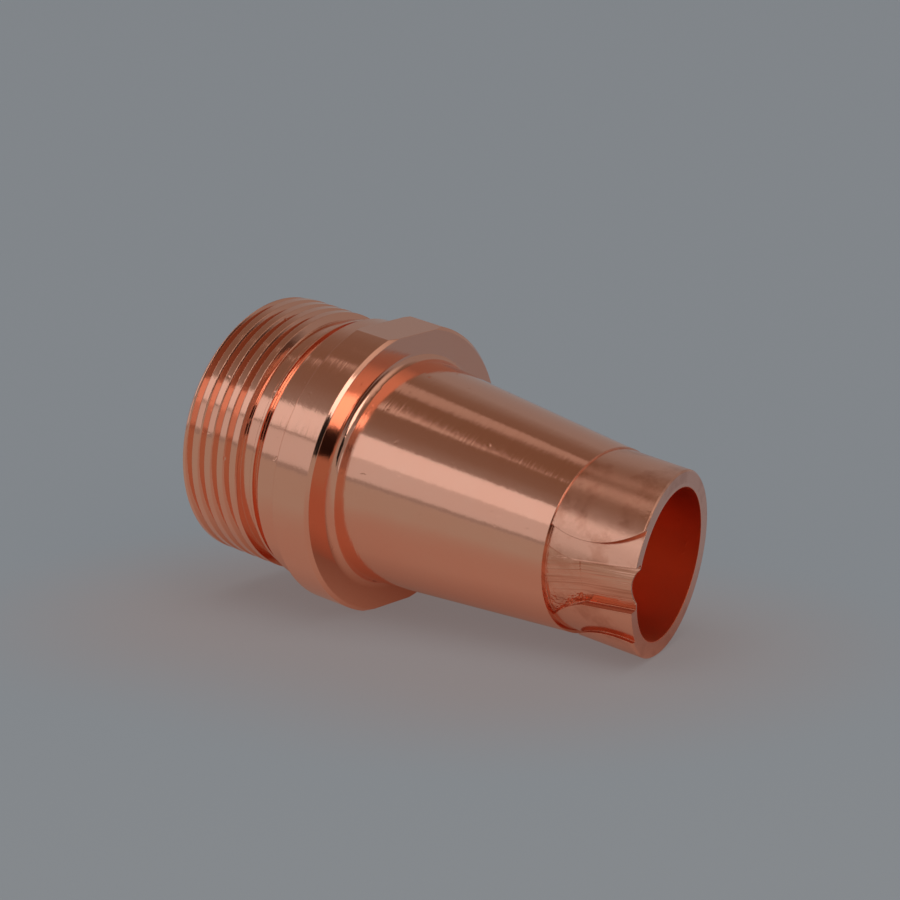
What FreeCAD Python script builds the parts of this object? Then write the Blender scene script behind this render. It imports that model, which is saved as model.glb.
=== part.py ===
import FreeCAD, Part
import math
import os

# Laser welding nozzle, turned and milled from one copper bar. Millimetres.
# It is built upright, with its axis on Z, the thread end at z = 0 and the tip up.
# In that frame the wrench flats face +X and -X, and the wire groove faces -Y.
# At the end it is laid down on one wrench flat and its tip, as it rests on a table.

# Mounting thread
thread_diameter = 16.0
thread_pitch = 1.0
thread_length = 4.65
thread_depth_per_pitch = 0.4
thread_crest_per_pitch = 0.44
thread_root_per_pitch = 0.1
thread_start_angle = 45.0
thread_taper = 0.0
thread_lead_in_turns = 1.785
thread_run_out_turns = 0.25
thread_chamfer = 0.4
relief_clearance = 0.03
relief_width = 1.75
land_diameter = 15.8
land_width = 0.2
land_station = 1.05

# Collar and wrench flange
collar_diameter = 16.4
collar_width = 1.85
collar_chamfer = 0.2
flange_diameter = 17.7
flange_thickness = 2.75
flange_front_chamfer = 0.2
flange_rear_chamfer = 0.12
flat_depth = 0.35

# Barrel and tip
barrel_base_diameter = 13.74
barrel_end_diameter = 11.16
barrel_length = 14.8
base_fillet = 0.5
tip_diameter = 11.0
tip_length = 4.85
tip_slant = 14.0
rim_chamfer = 0.1

# Gas and beam passage
outlet_diameter = 9.0
outlet_length = 6.0
inlet_diameter = 12.0
inlet_depth = 8.0
inlet_chamfer = 0.5

# Milled pocket round the wire groove
pocket_depth = 0.26
pocket_root_depth = 0.18
pocket_bend = 2.2
pocket_root_width = 9.2
pocket_waist = 5.6
pocket_waist_station = 0.6
pocket_mouth = 8.0
pocket_turn = 4.0

# Wire groove and the notch that it opens in the rim
groove_width = 2.65
groove_floor_wall = 0.12
groove_skew = 10.0
groove_turn = 7.0
notch_radius = 1.53
notch_depth = 0.65

# Flared entry, a ramp down to the groove: how wide it starts, and its width and place at the bend
flare_width = 6.0
flare_bend_width = 3.5
flare_bend = 0.9
flare_length = 2.2
flare_root_depth = 0.3
flare_overlap = 0.1

# How far the cutters run past the stock, and past the crest of the thread
overrun = 1.0
crest_overrun_per_pitch = 0.1

UP = FreeCAD.Vector(0, 0, 1)
ORIGIN = FreeCAD.Vector(0, 0, 0)
TOUCH = 1e-6

# Stations along the axis, from the thread end
relief_start = thread_length
land_start = relief_start + land_station
land_end = land_start + land_width
collar_start = relief_start + relief_width
flange_start = collar_start + collar_width
flange_end = flange_start + flange_thickness
barrel_end = flange_end + barrel_length
tip_end = barrel_end + tip_length

thread_radius = thread_diameter / 2
thread_depth = thread_pitch * thread_depth_per_pitch
relief_radius = thread_radius - thread_depth - relief_clearance
land_radius = land_diameter / 2
collar_radius = collar_diameter / 2
flange_radius = flange_diameter / 2
flat_distance = flange_radius - flat_depth
barrel_base_radius = barrel_base_diameter / 2
barrel_end_radius = barrel_end_diameter / 2
tip_radius = tip_diameter / 2
slant_reach = tip_radius * math.tan(math.radians(tip_slant))
rim_top = tip_end + slant_reach
outlet_radius = outlet_diameter / 2
inlet_radius = inlet_diameter / 2
groove_floor_radius = outlet_radius + groove_floor_wall


def at(radius, height):
    """Point of a turned profile."""
    return FreeCAD.Vector(radius, 0, height)


def turned(points):
    """Solid of revolution about the axis, from a closed profile."""
    wire = Part.makePolygon(points + [points[0]])
    return Part.Face(wire).revolve(ORIGIN, UP, 360)


def turned_blank():
    """Outside of the nozzle before milling, with stock left for the slanted face."""
    stock_end = rim_top + overrun
    profile = [
        at(0, 0),
        at(thread_radius - thread_chamfer, 0),
        at(thread_radius, thread_chamfer),
        at(thread_radius, relief_start),
        at(relief_radius, relief_start),
        at(relief_radius, land_start),
        at(land_radius, land_start),
        at(land_radius, land_end),
        at(relief_radius, land_end),
        at(relief_radius, collar_start),
        at(collar_radius - collar_chamfer, collar_start),
        at(collar_radius, collar_start + collar_chamfer),
        at(collar_radius, flange_start),
        at(flange_radius - flange_rear_chamfer, flange_start),
        at(flange_radius, flange_start + flange_rear_chamfer),
        at(flange_radius, flange_end - flange_front_chamfer),
        at(flange_radius - flange_front_chamfer, flange_end),
        at(barrel_base_radius, flange_end),
        at(barrel_end_radius, barrel_end),
        at(tip_radius, barrel_end),
        at(tip_radius, stock_end),
        at(0, stock_end),
    ]
    blank = turned(profile)
    corner = [
        edge for edge in blank.Edges
        if isinstance(edge.Curve, Part.Circle)
        and abs(edge.Curve.Center.z - flange_end) < TOUCH
        and abs(edge.Curve.Radius - barrel_base_radius) < TOUCH
    ]
    return blank.makeFillet(base_fillet, corner)


def passage():
    """Bore for the beam and the gas: a wide inlet, a cone and a straight outlet."""
    cone_end = tip_end - outlet_length
    far_end = rim_top + 2 * overrun
    profile = [
        at(0, 0),
        at(inlet_radius + inlet_chamfer, 0),
        at(inlet_radius, inlet_chamfer),
        at(inlet_radius, inlet_depth),
        at(outlet_radius, cone_end),
        at(outlet_radius, far_end),
        at(0, far_end),
    ]
    return turned(profile)


def thread_groove():
    """Helical vee that leaves the crests of the mounting thread. The sweep may come out reversed."""
    lead_in = thread_pitch * thread_lead_in_turns
    run_out = thread_pitch * thread_run_out_turns
    root = thread_radius - thread_depth
    above = thread_radius + thread_pitch * crest_overrun_per_pitch
    half_root = thread_pitch * thread_root_per_pitch / 2
    half_top = thread_pitch * (1 - thread_crest_per_pitch) / 2
    slope = (half_top - half_root) / thread_depth
    half_above = half_top + slope * (above - thread_radius)
    section = Part.makePolygon([
        at(root, -half_root),
        at(above, -half_above),
        at(above, half_above),
        at(root, half_root),
        at(root, -half_root),
    ])
    helix = Part.makeLongHelix(thread_pitch, thread_length + lead_in + run_out, root, thread_taper)
    groove = Part.Wire(helix.Edges).makePipeShell([section], True, True)
    if groove.Volume < 0:
        groove.reverse()
    groove.translate(FreeCAD.Vector(0, 0, -lead_in))
    groove.rotate(ORIGIN, UP, thread_start_angle)
    return groove


def flat_cutters():
    """Blocks outside the two wrench flats."""
    depth = flat_depth + overrun
    cutters = []
    for side in (1, -1):
        block = Part.makeBox(depth, 2 * flange_diameter, flange_thickness)
        block.translate(FreeCAD.Vector(0, -flange_diameter, flange_start))
        if side > 0:
            block.translate(FreeCAD.Vector(flat_distance, 0, 0))
        else:
            block.translate(FreeCAD.Vector(-flat_distance - depth, 0, 0))
        cutters.append(block)
    return cutters


def slant_cutter():
    """Block beyond the slanted end face, which is longest on the groove's side."""
    size = tip_end
    block = Part.makeBox(size, size, size)
    block.translate(FreeCAD.Vector(-size / 2, -size / 2, 0))
    block.rotate(ORIGIN, FreeCAD.Vector(1, 0, 0), -tip_slant)
    block.translate(FreeCAD.Vector(0, 0, tip_end))
    return block


def chamfered_rim(body):
    """Break the outer edge of the slanted end face."""
    rim = [
        edge for edge in body.Edges
        if edge.BoundBox.ZMin > barrel_end
        and edge.BoundBox.ZLength > slant_reach
        and edge.BoundBox.XLength > outlet_diameter + rim_chamfer
        and len(edge.Vertexes) == 1
    ]
    return body.makeChamfer(rim_chamfer, rim)


def skewed(shape, height):
    """Turn a cutter about the groove's normal, at a height on the axis, to the groove's skew."""
    shape.rotate(FreeCAD.Vector(0, 0, height), FreeCAD.Vector(0, 1, 0), -groove_skew)
    return shape


def sleeve(root_radius, bend, floor_radius):
    """Ring round the tip; its inside runs from one radius at the shoulder to another at the bend."""
    outer = tip_radius + overrun
    far_end = rim_top + 2 * overrun
    return turned([
        at(root_radius, barrel_end),
        at(floor_radius, barrel_end + bend),
        at(floor_radius, far_end),
        at(outer, far_end),
        at(outer, barrel_end),
    ])


def outline_point(half_width, height):
    """Point of a milled outline, in a plane in front of the groove."""
    return FreeCAD.Vector(half_width, -tip_radius - overrun, height)


def along_groove(shape):
    """Skew a cutter about the middle of the groove, and turn it round to meet the notch."""
    skewed(shape, (barrel_end + rim_top) / 2)
    shape.rotate(ORIGIN, UP, groove_turn)
    return shape


def milled_prism(right, left):
    """Prism through the groove's side of the wall, between two mirrored outline edges."""
    top = Part.makeLine(right.Vertexes[-1].Point, left.Vertexes[0].Point)
    bottom = Part.makeLine(left.Vertexes[-1].Point, right.Vertexes[0].Point)
    outline = Part.Face(Part.Wire([right, top, left, bottom]))
    return outline.extrude(FreeCAD.Vector(0, tip_radius + overrun, 0))


def pocket_cutter():
    """Waisted pocket from the shoulder to the rim; its floor bends a little on the way."""
    root = pocket_root_width / 2
    waist = pocket_waist / 2
    mouth = pocket_mouth / 2
    start = barrel_end - overrun
    middle = barrel_end + pocket_waist_station * (rim_top - barrel_end)
    end = rim_top + overrun
    right = Part.Arc(
        outline_point(root, start), outline_point(waist, middle), outline_point(mouth, end)
    ).toShape()
    left = Part.Arc(
        outline_point(-mouth, end), outline_point(-waist, middle), outline_point(-root, start)
    ).toShape()
    prism = skewed(milled_prism(right, left), rim_top)
    prism.rotate(ORIGIN, UP, pocket_turn)
    floor = sleeve(tip_radius - pocket_root_depth, pocket_bend, tip_radius - pocket_depth)
    return floor.common(prism)


def flare_cutter():
    """Fan at the shoulder end of the groove, where the wire comes in; it ramps down to the groove."""
    wide = flare_width / 2
    waist = flare_bend_width / 2
    narrow = groove_width / 2
    start = barrel_end - overrun
    bend = barrel_end + flare_bend
    end = barrel_end + flare_length
    right = Part.Arc(
        outline_point(wide, start), outline_point(waist, bend), outline_point(narrow, end)
    ).toShape()
    left = Part.Arc(
        outline_point(-narrow, end), outline_point(-waist, bend), outline_point(-wide, start)
    ).toShape()
    ramp = sleeve(tip_radius - flare_root_depth, flare_length, groove_floor_radius)
    return ramp.common(along_groove(milled_prism(right, left)))


def groove_cutter():
    """Channel for the filler wire, from the end of the flare to beyond the rim."""
    half = groove_width / 2
    start = barrel_end + flare_length - flare_overlap
    end = rim_top + overrun
    right = Part.makeLine(outline_point(half, start), outline_point(half, end))
    left = Part.makeLine(outline_point(-half, end), outline_point(-half, start))
    floor = sleeve(groove_floor_radius, overrun, groove_floor_radius)
    return floor.common(along_groove(milled_prism(right, left)))


def notch_cutter():
    """Round cutter through the wall at the rim, where the wire leaves the groove."""
    centre = rim_top - notch_depth + notch_radius
    return Part.makeCylinder(
        notch_radius, tip_radius, FreeCAD.Vector(0, -outlet_radius / 2, centre), FreeCAD.Vector(0, -1, 0)
    )


def nozzle():
    """The whole nozzle, upright."""
    body = turned_blank()
    body = body.cut(Part.makeCompound(flat_cutters()))
    body = body.cut(passage())
    body = chamfered_rim(body.cut(slant_cutter()))
    body = body.cut(pocket_cutter())
    body = body.cut(flare_cutter())
    body = body.cut(groove_cutter())
    body = body.cut(notch_cutter())
    body = body.cut(thread_groove())
    return body


def laid_down(body):
    """Rest it on the front edge of one wrench flat and on the lowest point of the rim."""
    drop = flat_distance - tip_radius
    tilt = math.degrees(math.atan(drop / (tip_end - flange_end)))
    body.rotate(ORIGIN, FreeCAD.Vector(0, 1, 0), 90 + tilt)
    box = body.optimalBoundingBox(False, False)
    body.translate(FreeCAD.Vector(-box.Center.x, -box.Center.y, -box.ZMin))
    return body


os.makedirs("parts", exist_ok=True)
laid_down(nozzle()).exportStep("parts/welding_nozzle.step")
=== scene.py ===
import math

import bpy
from mathutils import Matrix, Vector

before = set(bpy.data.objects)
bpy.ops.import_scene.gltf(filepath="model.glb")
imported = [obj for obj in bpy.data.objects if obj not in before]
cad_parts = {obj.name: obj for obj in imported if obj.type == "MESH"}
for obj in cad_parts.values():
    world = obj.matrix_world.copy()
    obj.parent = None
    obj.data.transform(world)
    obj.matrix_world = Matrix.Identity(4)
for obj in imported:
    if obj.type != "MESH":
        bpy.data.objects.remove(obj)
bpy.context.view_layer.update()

# The nozzle's own axis in the frame: where its thread end is, and how far it is turned about Y
NOZZLE_FOOT = (-0.0153523, 0.0, 0.0100628)
NOZZLE_TURN = math.radians(90.0 + 8.6804)

# The wire groove on the nozzle: degrees round it and askew, and its middle along the axis
GROOVE_TURN = 7.0
GROOVE_SKEW = 10.0
GROOVE_MIDDLE = 0.0289

# Copper: its two near tones, then stains on the tip, scores, a painted double reflection on the
# tip's walls and a painted deep red reflection in the bore
COPPER = (0.95, 0.45, 0.31, 1.0)
COPPER_PALE = (0.94, 0.49, 0.35, 1.0)
STAINED = (0.80, 0.36, 0.24, 1.0)
SCORED = (0.70, 0.30, 0.19, 1.0)
WALL_PAINTED_REFLECTION = (0.55, 0.17, 0.085, 1.0)
BORE_PAINTED_REFLECTION = (0.99, 0.23, 0.095, 1.0)

# Marks in the copper, as noise frequencies per metre and as lengths in metres
BLOTCHES = 420.0
MOTTLES = 1300.0
PITS = 1500.0
CHATTER = 2600.0
TURNING_PITCH = 0.00011
SCORE_WIDTH = 0.0003
SCORE_LENGTH = 0.012
EDGE_RADIUS = 0.00006
MARK_HEIGHT = 0.00001

# Paper on the table, as lit by the lamps, then as the camera and the copper see it, with painted
# light and shade in those tones
PAPER = (0.37, 0.40, 0.43, 1.0)
PAPER_BACK = (0.208, 0.228, 0.250, 1.0)
PAPER_FRONT = (0.240, 0.254, 0.268, 1.0)
PAPER_NEAR_SHADE_AND_BOUNCE = (0.252, 0.206, 0.199, 1.0)
MIRRORED_PAINTED_DIM_BEHIND = (0.235, 0.262, 0.300, 1.0)
MIRRORED_PAINTED_LIT = (0.40, 0.38, 0.335, 1.0)
MIRRORED_PAINTED_SHADOW = (0.215, 0.10, 0.07, 1.0)
MIRRORED_PAINTED_BOUNCE = (0.40, 0.27, 0.215, 1.0)
PAPER_GLOW = 0.68
TABLE_HALF = 3.0

# Zones of the copper, in metres: each fades in from its first length to its second
TIP_STARTS = (0.02575, 0.02585)
TIP_OUTSIDE = (0.0047, 0.00475)
BORE_WALL = (0.00455, 0.00452)
BORE_STARTS = (0.0075, 0.009)
FRONT_SIDE = (-0.001, -0.002)
OUTSIDE_BORE = (0.00454, 0.00459)
GROOVE_EDGE = (0.00145, 0.00125)
ENTRY_EDGE = (0.0032, 0.0024)
ENTRY_END = (0.0284, 0.0276)
ENTRY_DEPTH = (0.00525, 0.00515)
ROUGH_SIDE = (0.0003, 0.0009)

# Lamps and lens: tints, the panels' distance in metres, and the focal length in millimetres
COOL = (0.90, 0.98, 1.06)
WHITE = (1.0, 1.0, 1.0)
BLACK = (0.01, 0.01, 0.012, 1.0)
FAR = 2.5
LENS = 152.0

scene = bpy.context.scene


# Node helpers

class Nodes:
    """Short calls for building one node tree."""

    def __init__(self, tree):
        self.tree = tree
        tree.nodes.clear()

    def add(self, kind, **values):
        node = self.tree.nodes.new(kind)
        for key, value in values.items():
            setattr(node, key, value)
        return node

    def link(self, source, target):
        self.tree.links.new(source, target)

    def feed(self, socket, value):
        if isinstance(value, bpy.types.NodeSocket):
            self.link(value, socket)
        else:
            socket.default_value = value

    def math(self, operation, a, b=0.0):
        node = self.add("ShaderNodeMath", operation=operation)
        self.feed(node.inputs[0], a)
        self.feed(node.inputs[1], b)
        return node.outputs[0]

    def plus(self, a, b):
        return self.math("ADD", a, b)

    def times(self, *factors):
        product = factors[0]
        for factor in factors[1:]:
            product = self.math("MULTIPLY", product, factor)
        return product

    def split(self, vector):
        node = self.add("ShaderNodeSeparateXYZ")
        self.link(vector, node.inputs[0])
        return node.outputs

    def join(self, x, z):
        node = self.add("ShaderNodeCombineXYZ")
        self.link(x, node.inputs[0])
        self.link(z, node.inputs[2])
        return node.outputs[0]

    def dot(self, vector, fixed):
        node = self.add("ShaderNodeVectorMath", operation="DOT_PRODUCT")
        self.link(vector, node.inputs[0])
        node.inputs[1].default_value = fixed
        return node.outputs["Value"]

    def ramp(self, value, stops):
        node = self.add("ShaderNodeValToRGB")
        points = node.color_ramp.elements
        while len(points) < len(stops):
            points.new(0.5)
        for point, (place, colour) in zip(points, stops):
            point.position = place
            point.color = (*colour, 1.0)
        self.feed(node.inputs[0], value)
        return node.outputs[0]

    def between(self, value, low, high, shape="LINEAR"):
        """0 at low, 1 at high, and held beyond both; low may be the larger."""
        node = self.add("ShaderNodeMapRange", interpolation_type=shape)
        for socket, number in zip(node.inputs, (value, low, high, 0.0, 1.0)):
            self.feed(socket, number)
        return node.outputs[0]

    def mix(self, factor, a, b):
        node = self.add("ShaderNodeMix", data_type="RGBA")
        self.feed(node.inputs[0], factor)
        self.feed(node.inputs[6], a)
        self.feed(node.inputs[7], b)
        return node.outputs[2]

    def noise(self, vector, scale, detail, roughness=0.5):
        node = self.add("ShaderNodeTexNoise")
        self.feed(node.inputs["Vector"], vector)
        self.feed(node.inputs["Scale"], scale)
        self.feed(node.inputs["Detail"], detail)
        self.feed(node.inputs["Roughness"], roughness)
        return node.outputs["Fac"]


# Copper

def on_the_lathe(n, vector, foot):
    """The same vector with z along the nozzle's axis, from the thread end."""
    lathe = n.add("ShaderNodeMapping", vector_type="TEXTURE")
    lathe.inputs["Location"].default_value = foot
    lathe.inputs["Rotation"].default_value = (0.0, NOZZLE_TURN, 0.0)
    n.link(vector, lathe.inputs["Vector"])
    return n.split(lathe.outputs[0])


def copper():
    material = bpy.data.materials.new("polished_copper")
    material.use_nodes = True
    n = Nodes(material.node_tree)
    out = n.add("ShaderNodeOutputMaterial")
    shader = n.add("ShaderNodeBsdfPrincipled")
    n.link(shader.outputs[0], out.inputs[0])
    shader.inputs["Metallic"].default_value = 1.0

    place = n.add("ShaderNodeTexCoord").outputs["Object"]
    x, y, z = on_the_lathe(n, place, NOZZLE_FOOT)
    radius = n.math("SQRT", n.plus(n.times(x, x), n.times(y, y)))

    # Turning marks change only along the axis and out from it
    turned = n.join(n.math("DIVIDE", radius, TURNING_PITCH), n.math("DIVIDE", z, TURNING_PITCH))
    marks = n.noise(turned, 1.0, 3.0)
    tip = n.between(z, *TIP_STARTS)
    matt = n.times(tip, n.between(radius, *TIP_OUTSIDE))
    bore = n.times(n.between(radius, *BORE_WALL), n.between(z, *BORE_STARTS))
    blotch = n.noise(place, BLOTCHES, 4.0, 0.6)
    mottle = n.noise(place, MOTTLES, 3.0, 0.6)
    pits = n.between(n.noise(place, PITS, 1.0), 0.80, 0.72)

    # Walls in the tip, where the surface faces round the axis, not away from it: there a painted
    # double reflection, a deeper red, stands in for copper mirroring copper
    normal = n.add("ShaderNodeNewGeometry").outputs["True Normal"]
    across_x, across_y, lengthways = on_the_lathe(n, normal, (0.0, 0.0, 0.0))
    outward = n.math("DIVIDE", n.plus(n.times(across_x, x), n.times(across_y, y)), radius)
    side_on = n.between(n.math("ABSOLUTE", outward), 0.80, 0.55)
    not_face = n.between(n.math("ABSOLUTE", lengthways), 0.6, 0.4)
    wall = n.times(side_on, not_face, tip)

    # Across the wire groove: 0 on its middle line, which runs askew along the tip
    turn = math.radians(GROOVE_TURN)
    across = n.plus(n.times(x, math.cos(turn)), n.times(y, math.sin(turn)))
    from_middle = n.math("SUBTRACT", z, GROOVE_MIDDLE)
    across = n.plus(across, n.times(from_middle, math.tan(math.radians(GROOVE_SKEW))))
    offset = n.math("ABSOLUTE", across)
    front = n.times(tip, n.between(y, *FRONT_SIDE), n.between(radius, *OUTSIDE_BORE))
    groove = n.times(front, n.between(offset, *GROOVE_EDGE))
    entry = n.times(n.between(offset, *ENTRY_EDGE), n.between(z, *ENTRY_END))
    entry = n.times(front, entry, n.between(radius, *ENTRY_DEPTH))
    scores = n.join(n.math("DIVIDE", across, SCORE_WIDTH), n.math("DIVIDE", z, SCORE_LENGTH))
    score = n.noise(scores, 1.0, 3.0, 0.7)
    chatter = n.noise(place, CHATTER, 2.0, 0.6)

    base = n.mix(blotch, COPPER, COPPER_PALE)
    base = n.mix(n.times(groove, n.between(score, 0.52, 0.66)), base, SCORED)
    base = n.mix(n.times(matt, n.between(blotch, 0.50, 0.38)), base, STAINED)
    # Painted reflection: the tip's walls get the deeper red of copper seen in copper
    base = n.mix(wall, base, WALL_PAINTED_REFLECTION)
    # Painted reflection: the bore is painted the deep red of copper mirrored in copper
    base = n.mix(bore, base, BORE_PAINTED_REFLECTION)
    n.link(base, shader.inputs["Base Color"])

    rough = n.plus(n.times(marks, 0.06), 0.035)
    rough = n.plus(rough, n.times(mottle, 0.07))
    rough = n.plus(rough, n.times(matt, n.plus(n.times(blotch, 0.16), 0.04)))
    rough = n.plus(rough, n.times(bore, 0.35))
    n.link(rough, shader.inputs["Roughness"])

    # Heights as counts of one mark; the cutter left the lower side of the entry roughest
    chatter_height = n.plus(n.times(n.between(across, *ROUGH_SIDE), 60.0), 10.0)
    relief = n.plus(marks, n.times(mottle, 1.5))
    relief = n.plus(relief, n.times(groove, score, 14.0))
    relief = n.plus(relief, n.times(entry, chatter, chatter_height))
    relief = n.plus(relief, n.times(pits, 3.0))
    edges = n.add("ShaderNodeBevel", samples=6)
    edges.inputs["Radius"].default_value = EDGE_RADIUS
    bump = n.add("ShaderNodeBump")
    bump.inputs["Strength"].default_value = 0.35
    bump.inputs["Distance"].default_value = MARK_HEIGHT
    n.link(relief, bump.inputs["Height"])
    n.link(edges.outputs[0], bump.inputs["Normal"])
    n.link(bump.outputs[0], shader.inputs["Normal"])
    return material


def dress(nozzle, skin):
    """Give every slot of the nozzle the same material."""
    if not nozzle.material_slots:
        nozzle.data.materials.append(skin)
    for slot in nozzle.material_slots:
        slot.material = skin


dress(bpy.data.objects["welding_nozzle"], copper())


# Table

def flat(name, corners, material):
    """One flat face with one material."""
    mesh = bpy.data.meshes.new(name)
    mesh.from_pydata(corners, [], [(0, 1, 2, 3)])
    face = bpy.data.objects.new(name, mesh)
    scene.collection.objects.link(face)
    mesh.materials.append(material)
    return face


def paper():
    """Grey paper; the camera and the mirrors of the copper see part of its tone as written, with
    painted light, shade and bounce in it.
    """
    material = bpy.data.materials.new("floor_grey")
    material.use_nodes = True
    n = Nodes(material.node_tree)
    out = n.add("ShaderNodeOutputMaterial")
    shader = n.add("ShaderNodeBsdfPrincipled")
    shader.inputs["Base Color"].default_value = PAPER
    shader.inputs["Roughness"].default_value = 0.9
    shader.inputs["Specular IOR Level"].default_value = 0.2

    # Distance from the line under the nozzle; there the paper's tone has a painted shadow and a
    # painted warm bounce of light from the copper
    x, y = n.split(n.add("ShaderNodeTexCoord").outputs["Object"])[:2]
    along = n.math("MAXIMUM", n.math("SUBTRACT", n.math("ABSOLUTE", x), 0.008), 0.0)
    across = n.plus(y, 0.004)
    distance = n.math("SQRT", n.plus(n.times(along, along), n.times(across, across)))
    near = n.between(distance, 0.025, 0.006, "SMOOTHSTEP")
    # Painted light: the paper's tone is painted brighter toward the front and dimmer toward the
    # back
    front = n.between(n.math("SUBTRACT", y, x), 0.02, -0.14)
    seen = n.mix(near, n.mix(front, PAPER_BACK, PAPER_FRONT), PAPER_NEAR_SHADE_AND_BOUNCE)

    # Painted light in what the copper mirrors: the paper is painted brighter toward the lamps on
    # the left, duller behind the nozzle, with a painted shadow under it and a painted warm bounce
    # near it
    lit_side = n.between(y, 0.002, -0.007)
    far_tone = n.mix(lit_side, MIRRORED_PAINTED_DIM_BEHIND, MIRRORED_PAINTED_LIT)
    near_tone = n.mix(lit_side, MIRRORED_PAINTED_SHADOW, MIRRORED_PAINTED_BOUNCE)
    path = n.add("ShaderNodeLightPath").outputs
    tone = n.mix(path["Is Glossy Ray"], seen, n.mix(near, far_tone, near_tone))
    glow = n.add("ShaderNodeEmission")
    n.link(tone, glow.inputs["Color"])
    shown = n.math("MAXIMUM", path["Is Camera Ray"], path["Is Glossy Ray"])
    both = n.add("ShaderNodeMixShader")
    n.link(n.times(shown, PAPER_GLOW), both.inputs[0])
    n.link(shader.outputs[0], both.inputs[1])
    n.link(glow.outputs[0], both.inputs[2])
    n.link(both.outputs[0], out.inputs[0])
    return material


def floor():
    half = TABLE_HALF
    corners = [(-half, -half, 0.0), (half, -half, 0.0), (half, half, 0.0), (-half, half, 0.0)]
    plane = flat("floor", corners, paper())


floor()


# Camera

def camera():
    data = bpy.data.cameras.new("camera")
    data.sensor_width = 36.0
    data.lens = LENS
    data.clip_start = 0.01
    data.clip_end = 20.0
    view = bpy.data.objects.new("camera", data)
    scene.collection.objects.link(view)
    right = Vector((0.77557, 0.63085, -0.02263)).normalized()
    back = Vector((0.61902, -0.75302, 0.22312)).normalized()
    up = back.cross(right).normalized()
    right = up.cross(back)
    turn = Matrix((right, up, back)).transposed().to_4x4()
    view.matrix_world = Matrix.Translation((0.137783, -0.168762, 0.060085)) @ turn
    scene.camera = view


camera()


# Light

def direction(azimuth, elevation):
    a = math.radians(azimuth)
    e = math.radians(elevation)
    return Vector((math.cos(a) * math.cos(e), math.sin(a) * math.cos(e), math.sin(e)))


def span(degrees):
    """Width that fills an angle at the distance of the panels."""
    return 2.0 * FAR * math.tan(math.radians(degrees / 2.0))


def panel(name, azimuth, elevation, wide, high, level, colour=WHITE):
    """Soft panel, wide and high in degrees; level is how bright its face is, where 1 is white."""
    data = bpy.data.lights.new(name, "AREA")
    data.shape = "RECTANGLE"
    data.size = span(wide)
    data.size_y = span(high)
    data.energy = level * math.pi * span(wide) * span(high)
    data.color = colour
    lamp = bpy.data.objects.new(name, data)
    scene.collection.objects.link(lamp)
    way = direction(azimuth, elevation)
    lamp.location = way * FAR
    lamp.rotation_mode = "QUATERNION"
    lamp.rotation_quaternion = way.to_track_quat("Z", "Y")
    return lamp


def card(name, azimuth, elevation, distance, width, height):
    """Dark card that only mirrors show: the camera and whoever holds it."""
    way = direction(azimuth, elevation)
    side = Vector((-way.y, way.x, 0.0)).normalized()
    rise = way.cross(side)
    corners = [way * distance + side * (a * width / 2) + rise * (b * height / 2)
               for a, b in ((-1, -1), (1, -1), (1, 1), (-1, 1))]
    material = bpy.data.materials.new(name + "_black")
    material.use_nodes = True
    shader = material.node_tree.nodes["Principled BSDF"]
    shader.inputs["Base Color"].default_value = BLACK
    shader.inputs["Roughness"].default_value = 0.8
    board = flat(name, corners, material)
    board.visible_camera = False
    board.visible_diffuse = False
    board.visible_shadow = False


panel("left_upper", -109.0, 31.5, 22, 20, 0.52, COOL)
panel("left_upper_back", -142.0, 31.5, 30, 16, 0.52, COOL)
panel("left_lower", -118.0, 12.5, 70, 18, 0.28, COOL)
panel("top_strip", -160.0, 65.5, 17, 6, 0.36)
panel("top_patch", 148.0, 66.0, 12, 8, 0.20)
panel("key", -27.0, 32.0, 34, 24, 1.3)
# Lights the paper only; the copper shows the panels and the dome
panel("overhead_fill", -60.0, 75.0, 50, 50, 1.5).visible_glossy = False
card("dark_camera", -42.0, 6.0, 0.30, 0.18, 0.17)


def dome():
    """Dim room: grey at the sides, brown overhead."""
    world = bpy.data.worlds.new("studio")
    scene.world = world
    world.use_nodes = True
    n = Nodes(world.node_tree)
    sky = n.add("ShaderNodeBackground")
    n.link(sky.outputs[0], n.add("ShaderNodeOutputWorld").inputs[0])
    way = n.add("ShaderNodeTexCoord").outputs["Generated"]
    tone = n.ramp(n.split(way)[2], [
        (0.0, (0.28, 0.275, 0.27)),
        (0.62, (0.28, 0.275, 0.27)),
        (0.80, (0.20, 0.155, 0.125)),
        (1.0, (0.17, 0.115, 0.08)),
    ])
    # A little lighter high on the right, and dim low on the right, beyond the end of the table
    lighter = n.between(n.dot(way, direction(0.0, 48.0)), 0.80, 0.97)
    tone = n.mix(lighter, tone, (0.60, 0.55, 0.50, 1.0))
    dim = n.between(n.dot(way, direction(11.0, 9.0)), 0.914, 0.970)
    n.link(n.mix(dim, tone, (0.07, 0.045, 0.035, 1.0)), sky.inputs[0])


dome()

scene.view_settings.view_transform = "Standard"
